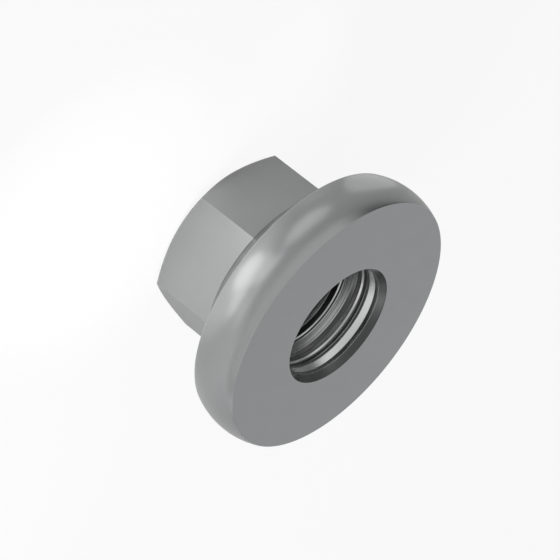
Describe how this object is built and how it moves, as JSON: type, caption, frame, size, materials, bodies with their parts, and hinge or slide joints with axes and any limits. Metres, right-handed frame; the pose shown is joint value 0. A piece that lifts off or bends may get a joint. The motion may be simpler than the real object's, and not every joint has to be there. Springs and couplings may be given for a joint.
{
  "type": "hex lock nut",
  "caption": "Hexagon nut made in one piece with a wide, thick round collar; screws onto a threaded stud and clamps with the collar's flat bearing face.",
  "frame": {"origin": "centre of the hexagon end face, on the thread axis, where the nut stands", "axes": "+Z along the thread axis, out of the flat bearing face; +X through a corner of the hexagon"},
  "size_m": [0.0326, 0.0326, 0.018],
  "materials": {
    "steel": "smooth satin steel, turned and milled, with soft reflections"
  },
  "bodies": {
    "root": {"lock_nut": "steel"}
  },
  "joints": []
}
